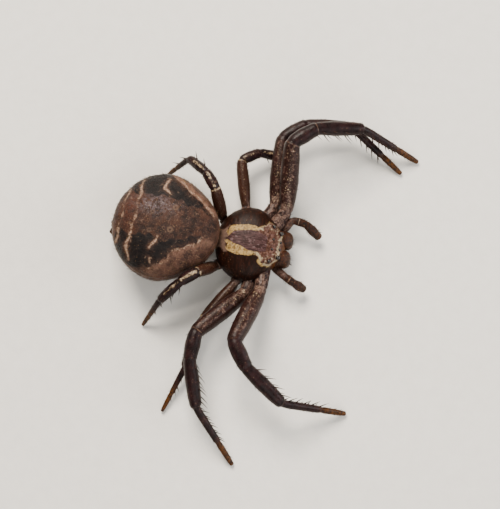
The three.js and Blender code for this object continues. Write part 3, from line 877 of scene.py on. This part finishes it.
def grooves(points):
    """How deep the grooves are that fan out over the carapace's sides, from 0 to 1."""
    side, y = np.abs(points[..., 0]), points[..., 1]
    bearing = np.arctan2(y - GROOVES["centre_y"], side)
    deep = np.zeros_like(side)
    for lane in range(GROOVES["count"]):
        away = bearing - radians(GROOVES["first"] + GROOVES["apart"] * lane)
        deep = np.maximum(deep, hump(away, GROOVES["width"]) * band(side, 0.75, 1.5, 0.2))
    return deep


def cephalothorax():
    ways = ball_ways(220, 300)
    points = carapace_point(ways)
    outward = unit(points - np.array(CARAPACE["centre"]))
    marks = carapace_marks(points, ways)
    relief = -BODY_SKIN_DEPTH["carapace"] - 0.03 * marks["point"]
    relief = relief - GROOVES["depth"] * grooves(points) * smooth(ways[..., 2], 0.3, 0.55)
    for _, eye, way in eye_places():
        away = np.linalg.norm(points - carapace_point(way), axis=-1)
        lift = EYE_STANDS_OUT * eye["tubercle"]
        relief = relief + (lift + EYE_MOUND["height"]) * hump(away, lift + EYE_MOUND["reach"])
        if eye["tubercle"]:
            ring = EYE_RING["strength"] * hump(away - EYE_RING["radius"] * eye["radius"], EYE_RING["width"])
            marks["cream"] = np.maximum(marks["cream"], ring)
    paint = carapace_paint()
    shell = Shell()
    shell.grid(points + outward * relief[..., None], **marks)
    shell.build("cephalothorax_skin", paint, ["cephalothorax"])

    waist = Shell()
    plain = dict.fromkeys(marks, 0.0) | {"under": 0.6}
    tube(waist, [PEDICEL["start"], PEDICEL["end"]], lambda along: np.full_like(along, PEDICEL["radius"]),
         24, 20, lambda along, top: plain)
    waist.build("pedicel_skin", paint, ["pedicel"])


def eyes():
    paint = eye_paint()
    for name, eye, way in eye_places():
        centre = carapace_point(way) + way * eye["tubercle"] * EYE_STANDS_OUT
        shell = Shell()
        shell.grid(centre + ball_ways(24, 32) * eye["radius"] * LENS_SHARE)
        shell.build(f"lens_{name}", paint, [f"eye_{name}"])


# Limbs


def path_of(joints, round_off):
    """Points along a limb with rounded corners, and each point's place as joint number plus share."""
    joints = [np.asarray(joint, float) for joint in joints]
    places, stations = [joints[0]], [0.0]
    for i in range(1, len(joints) - 1):
        before, corner, after = joints[i - 1:i + 2]
        length_in, length_out = np.linalg.norm(corner - before), np.linalg.norm(after - corner)
        cut_in, cut_out = min(round_off, 0.4 * length_in), min(round_off, 0.4 * length_out)
        start = corner + unit(before - corner) * cut_in
        end = corner + unit(after - corner) * cut_out
        for share in np.linspace(0, 1, 7):
            rest = 1 - share
            places.append(rest ** 2 * start + 2 * share * rest * corner + share * share * end)
            if share > 0.5:
                stations.append(i + share * cut_out / length_out)
            elif share < 0.5:
                stations.append(i - rest * cut_in / length_in)
            else:
                stations.append(i)
    places.append(joints[-1])
    stations.append(len(joints) - 1.0)
    return np.array(places), np.array(stations)


def domed(line, tangent, cap):
    """A tube's rows with five more at each end, which close it roundly."""
    middle, along, up, across, radius = line
    turns = np.linspace(pi / 2, 0.06, 6)[1:]
    ends = []
    for end, sign in ((0, -1), (-1, 1)):
        turn = turns[::sign]
        reach = sign * radius[end] * cap * np.cos(turn)
        same = [np.repeat(values[end][None], len(turn), axis=0) for values in (along, up, across)]
        ends.append([middle[end] + reach[:, None] * tangent[end], *same, radius[end] * np.sin(turn)])
    return [np.concatenate(parts) for parts in zip(ends[0], line, ends[1])]


def tube(shell, joints, radius_at, rows, sides, fields, round_off=0.2, cap=0.6, flatten=1.0, square=1.0):
    """A limb with rounded ends; returns its middle, place, up, across and radius in each row."""
    places, stations = path_of(joints, round_off)
    run = np.concatenate([[0], np.cumsum(np.linalg.norm(np.diff(places, axis=0), axis=1))])
    steps = np.linspace(0, run[-1], rows)
    middle = np.stack([np.interp(steps, run, places[:, axis]) for axis in range(3)], -1)
    along = np.interp(steps, run, stations)
    tangent = unit(np.gradient(middle, axis=0))
    up = unit(np.array([0, 0, 1.0]) - tangent * tangent[:, 2:3])
    line = domed((middle, along, up, np.cross(tangent, up), radius_at(along)), tangent, cap)
    middle, along, up, across, radius = line

    turn = (np.arange(sides) / sides * tau)[None, :, None]
    bulge_up = np.sign(np.cos(turn)) * np.abs(np.cos(turn)) ** square
    bulge_out = np.sign(np.sin(turn)) * np.abs(np.sin(turn)) ** square
    rim = bulge_up * up[:, None] + bulge_out * across[:, None] * flatten
    rings = middle[:, None] + rim * radius[:, None, None]
    top = np.cos(turn[..., 0]) * np.ones((len(middle), 1))
    shell.grid(rings, **fields(along[:, None] * np.ones_like(top), top))
    return line


def leg_joints(name):
    side, number = name.split("_")
    base, lengths, _ = LEG_PAIRS[int(number)]
    joint = np.array(base) * (1 if side == "left" else -1, 1, 1)
    joints = [joint]
    *bearings, foot = STANCE[name]
    for bearing, length in zip(bearings, lengths):
        joint = joint + direction(*bearing) * length
        joints.append(joint)
    dip = degrees(asin((joint[2] - TIP_HEIGHT) / lengths[-1]))
    return joints + [joint + direction(foot, -dip) * lengths[-1]]


def leg_radius(number):
    """A function from the place along a leg to its radius."""
    sizes = dict(zip(SEGMENTS, LEG_PAIRS[number][2]))
    widths = [(place, share * sizes[segment]) for place, share, segment in LEG_WIDTHS]
    fine = np.linspace(0, 5, 501)
    kernel = np.hanning(9)
    wide = np.pad(between(fine, widths), 4, mode="edge")
    soft = np.convolve(wide, kernel / kernel.sum(), mode="valid")

    def radius(along):
        dips = sum(hump(along - place, JOINT_DIPS["width"]) for place in JOINT_DIPS["places"])
        return np.interp(along, fine, soft) * (1 - JOINT_DIPS["depth"] * dips)

    return radius


def legs():
    """The eight legs; returns the line of each for what grows on it."""
    paint = leg_paint()
    lines = {}
    for name in STANCE:
        number = int(name[-1])
        shell = Shell()
        lines[name] = tube(shell, leg_joints(name), leg_radius(number), 260, 40, leg_fields(number),
                           round_off=0.3, cap=0.7)
        shell.build(f"leg_{name}_skin", paint, [f"leg_{name}_{segment}" for segment in SEGMENTS])
    return lines


def fang(shell, root, along, sign):
    """A fang that points inwards from near the tip of a chelicera."""
    base = root + along * (CHELICERA["length"] - CHELICERA["radius"] * FANG["seat"])
    mirror = (sign, 1, 1)
    way = unit(FANG["way"]) * mirror
    knuckle = base + way * FANG["length"] * FANG["knuckle"]
    point = base + way * FANG["length"] * FANG["point"] + np.array(FANG["hook"]) * mirror
    tube(shell, [base, knuckle, point], taper(FANG["widths"]), 30, 14, ambering(0), round_off=0.1)


def chelicera(paint, side, sign):
    form = CHELICERA
    root = np.array([sign * form["x"], form["y"], form["top"]])
    along = direction(0, form["slope"])
    tip = root + along * (form["length"] - form["radius"])
    hinge = root + np.array([0, form["hinge_back"], 0])
    shell = Shell()
    line = tube(shell, [hinge, root, tip], taper(form["widths"], form["radius"]), 80, 40, ambering(0.5),
                round_off=0.3, flatten=form["flatten"], square=form["square"])
    fang(shell, root, along, sign)
    shell.build(f"chelicera_{side}_skin", paint, [f"chelicera_{side}"])
    return line


def mouthparts(paint):
    """The lip between the two maxillae."""
    form = MOUTHPARTS
    shell = Shell()
    root = np.array([0, form["y"], form["z"]])
    tip = root + direction(0, form["rise"]) * form["length"] * LIP["share"]
    tube(shell, [root, tip], taper(LIP["widths"], LIP["radius"]), 30, 28, ambering(0.5, start=0.2))
    for sign in (1, -1):
        root = np.array([sign * MAXILLA["x"], form["y"], form["z"]])
        tip = root + direction(-sign * MAXILLA["toe"], form["rise"]) * form["length"]
        radius_at = taper(MAXILLA["widths"], MAXILLA["radius"])
        tube(shell, [root, tip], radius_at, 40, 28, ambering(0.9, start=0.2))
    shell.build("mouthparts_skin", paint, ["mouthparts"])


def palp(paint, side):
    shell = Shell()
    line = tube(shell, PALPS[side], taper(PALP_WIDTHS), 110, 32, palp_fields)
    shell.build(f"palp_{side}_skin", paint, [f"palp_{side}"])
    return line


def spinnerets(paint):
    form = SPINNERETS
    shell = Shell()
    for x, z in form["places"]:
        root = np.array(form["centre"]) + np.array([x, 0, z]) * form["spread"]
        way = direction(180 - x * form["splay"], form["droop"] + z * form["fan"])
        tube(shell, [root, root + way * form["length"]], taper(form["widths"], form["radius"]), 30, 20,
             ambering(0.4))
    shell.build("spinnerets_skin", paint, ["spinnerets"])


def mouth():
    """The mouth and the spinnerets, of one material; returns the lines of the chelicerae and palps."""
    paint = mouth_paint()
    lines = [chelicera(paint, "left", 1), chelicera(paint, "right", -1)]
    mouthparts(paint)
    lines += [palp(paint, "left"), palp(paint, "right")]
    spinnerets(paint)
    return lines


# Spines, claws and bristles


def cone(shell, root, way, length, radius, bend, sides=6, rows=6, seat=None, **fields):
    """A tapering bristle that bends towards a direction; seat is its place in the unwrap."""
    way = unit(way)
    share = np.linspace(0, 1, rows)
    middle = root + np.outer(share * length, way) + np.outer(share ** 2 * length, bend)
    side = unit(np.cross(way, [0.3, 0.5, 0.81]))
    other = np.cross(way, side)
    turn = np.arange(sides) / sides * tau
    rim = np.cos(turn)[:, None] * side + np.sin(turn)[:, None] * other
    width = radius * (1 - share ** 1.6 * 0.93)
    unwrap = None
    if seat is not None:
        patch = np.stack(np.meshgrid(share - 0.5, np.arange(sides) / sides - 0.5, indexing="ij"), -1)
        unwrap = np.asarray(seat) + PATCH * patch
    shell.grid(middle[:, None] + rim[None] * width[:, None, None], unwrap, **fields)


def spine_root(line, place, turn, sign):
    """A spine's root under a leg, and its outward and onward directions."""
    middle, along, _, _, radius = line
    i = int(np.argmin(np.abs(along - place)))
    tangent = unit(middle[min(i + 1, len(middle) - 1)] - middle[max(i - 1, 0)])
    inner = unit(np.cross([0, 0, 1], tangent)) * -sign
    out = np.array(Matrix.Rotation(radians(turn), 3, Vector(tangent))) @ inner
    return middle[i] + out * radius[i] * SPINE["sink"], out, tangent


def spine(shell, line, place, row, sign, size):
    root, out, tangent = spine_root(line, place, row + rng.uniform(-SPINE["stray"], SPINE["stray"]), sign)
    length = size * rng.uniform(*SPINE["spread"])
    lean = radians(rng.uniform(*SPINE["lean"]))
    cone(shell, root, out * sin(lean) + tangent * cos(lean), length, SPINE["radius"], tangent * SPINE["bend"])


def spines(lines):
    """Two rows of spines under each tibia and foot."""
    shell = Shell()
    for name, line in lines.items():
        sign = 1 if name.startswith("left") else -1
        front = int(name[-1]) < 3
        for segment, form in SPINES.items():
            count = form["front" if front else "hind"]
            size = form["length"] * (1 if front else SPINE["hind"])
            for i in range(count):
                for row in SPINE_ROWS:
                    share = form["reach"] * (i + 0.6 + 0.15 * np.sign(row)) / count
                    spine(shell, line, SEGMENTS.index(segment) + share, row, sign, size)
    shell.build("leg_spines", horn_paint("spine_horn", SPINE_TONES))


def claws(lines):
    """Two curved claws at the tip of each foot."""
    shell = Shell()
    for middle, _, _, across, _ in lines.values():
        tip = middle[-1]
        tangent = unit(tip - middle[-12])
        for sign in (-1, 1):
            root = tip - tangent * CLAW["back"] + across[-1] * sign * CLAW["apart"]
            way = tangent + across[-1] * sign * CLAW["splay"] + np.array([0, 0, CLAW["rise"]])
            cone(shell, root, way, CLAW["length"], CLAW["radius"], np.array([0, 0, -CLAW["curl"]]))
    shell.build("claws", horn_paint("claw_horn", CLAW_TONES))


def inside_box(point):
    """Whether a point lies within the solids' box, so that no bristle stands out of it."""
    at = (point + SHIFT) * MM
    return bool(np.all(at > np.array(CAD_BOX[0])) and np.all(at < np.array(CAD_BOX[1])))


def bristle(shell, root, out, lie, length, rise, seat, tone):
    """One short bristle that leans along the lie of the coat."""
    way = unit(out * sin(radians(rise)) + lie * cos(radians(rise)))
    bend = lie * BRISTLE["bend"]
    if inside_box(root + (way + bend) * length):
        cone(shell, root - out * BRISTLE["sink"], way, length, BRISTLE["radius"], bend,
             sides=3, rows=4, seat=seat, tone=tone)


def skin_place(point_at, way, centre):
    """The point of a body in a direction, and which way its skin faces there."""
    step = 0.02
    root = point_at(way)
    aside = unit(np.cross(way, [0.1, 0.2, 1.0]))
    other = np.cross(way, aside)
    out = unit(np.cross(point_at(unit(way + aside * step)) - root, point_at(unit(way + other * step)) - root))
    return root, out if out @ (root - centre) > 0 else -out


def body_bristles(shell, point_at, marks_at, centre, form):
    """Bristles over a body's upper side and flanks, leaning backwards."""
    for _ in range(form["count"]):
        height, turn = rng.uniform(-0.75, 1), rng.uniform(0, tau)
        flat = (1 - height ** 2) ** 0.5
        way = np.array([flat * cos(turn), flat * sin(turn), height])
        root, out = skin_place(point_at, way, centre)
        lie = unit(np.array([0, 1.0, 0]) - out * out[1] + BODY_STRAY * rng.normal(size=3))
        marks = marks_at(root[None], way[None])
        tone = min(1.0, float(sum(marks[name][0] * share for name, share in form["pale"].items())))
        spread = BODY_SPREAD["above" if height > 0 else "below"]
        seat = np.array(form["corner"]) + spread * way[:2]
        length, rise = rng.uniform(*form["length"]), rng.uniform(*BODY_RISE)
        bristle(shell, root - out * BODY_SINK, out, lie, length, rise, seat, tone)


def limb_bristles(shell, line, form, row, shares, fields):
    """Bristles all round a limb, leaning towards its tip, in their own row of the unwrap."""
    middle, along, up, across, radius = line
    begin, end = form["ends"]
    for _ in range(form["count"]):
        i = int(rng.integers(begin, len(middle) - end))
        turn = rng.uniform(0, tau)
        out = cos(turn) * up[i] + sin(turn) * across[i]
        root = middle[i] + out * (radius[i] - 0.004)
        if root[2] < form["lowest"]:
            continue
        tangent = unit(middle[i + 1] - middle[i - 1])
        tone = float(min(fields(along[i], np.array(cos(turn)))["cream"], 1))
        seat = 0.02 + form["size"] * shares[i], form["low"] + (row + turn / tau) * form["apart"]
        length, rise = rng.uniform(*form["length"]), rng.uniform(*form["rise"])
        bristle(shell, root, out, tangent, length, rise, seat, tone)


def coat(leg_lines, mouth_lines):
    """Short dark and pale bristles over the whole animal."""
    paint = bristle_paint()
    body = Shell()
    body_bristles(body, abdomen_point, abdomen_marks, ABDOMEN["centre"], BODY_BRISTLES["abdomen"])
    body_bristles(body, carapace_point, carapace_marks, CARAPACE["centre"], BODY_BRISTLES["carapace"])
    body.build("body_bristles", paint)

    limbs = Shell()
    for row, (name, line) in enumerate(leg_lines.items()):
        limb_bristles(limbs, line, LEG_BRISTLES, row, line[1] / len(SEGMENTS), leg_fields(int(name[-1])))
    limbs.build("leg_bristles", paint)

    face = Shell()
    for row, line in enumerate(mouth_lines):
        shares = np.arange(len(line[0])) / len(line[0])
        limb_bristles(face, line, MOUTH_BRISTLES, row, shares, lambda along, top: dict(cream=0.0))
    face.build("mouth_bristles", paint)


# Studio


def camera():
    form = CAMERA
    back = np.array([-sin(radians(form["side_lean"])), -sin(radians(form["front_lean"])), 0])
    back[2] = (1 - back @ back) ** 0.5
    ahead = np.array([0, -1.0, 0])
    ahead = unit(ahead - back * (ahead @ back))
    left = np.cross(back, ahead)
    roll = radians(form["roll"])
    right = cos(roll) * ahead + sin(roll) * left
    up = -sin(roll) * ahead + cos(roll) * left
    aim = np.array(form["target"]) + SHIFT - up * AIM_BELOW * PIXEL
    data = bpy.data.cameras.new("camera")
    data.sensor_width = form["sensor"]
    data.lens = form["sensor"] * form["distance"] / (FRAME_PIXELS * PIXEL)
    data.clip_start, data.clip_end = form["near"], form["far"]
    eye = bpy.data.objects.new("camera", data)
    turn = np.eye(4)
    turn[:3, 0], turn[:3, 1], turn[:3, 2] = right, up, back
    turn[:3, 3] = (aim + back * form["distance"]) * MM
    eye.matrix_world = Matrix(turn)
    bpy.context.scene.collection.objects.link(eye)
    bpy.context.scene.camera = eye


def lamp(name, place, size, watts, tint):
    data = bpy.data.lights.new(name, "AREA")
    data.size = size * MM
    data.energy = watts
    data.color = colour(tint)[:3]
    light = bpy.data.objects.new(name, data)
    light.location = Vector(place) * MM
    light.rotation_mode = "QUATERNION"
    light.rotation_quaternion = Vector(place).to_track_quat("Z", "Y")
    bpy.context.scene.collection.objects.link(light)


def floor():
    reach = FLOOR_REACH
    corners = [(-reach, -reach, 0), (reach, -reach, 0), (reach, reach, 0), (-reach, reach, 0)]
    mesh = bpy.data.meshes.new("floor")
    mesh.from_pydata(corners, [], [(0, 1, 2, 3)])
    mesh.materials.append(floor_paint())
    sheet = bpy.data.objects.new("floor", mesh)
    bpy.context.scene.collection.objects.link(sheet)


def studio():
    world = bpy.data.worlds.new("studio")
    world.use_nodes = True
    sky = world.node_tree.nodes["Background"].inputs
    sky["Color"].default_value = colour(SKY["tint"])
    sky["Strength"].default_value = SKY["strength"]
    bpy.context.scene.world = world
    for name, form in LAMPS.items():
        lamp(name, **form)
    floor()


leg_lines = legs()
cephalothorax()
abdomen()
eyes()
mouth_lines = mouth()
spines(leg_lines)
claws(leg_lines)
coat(leg_lines, mouth_lines)
studio()
camera()
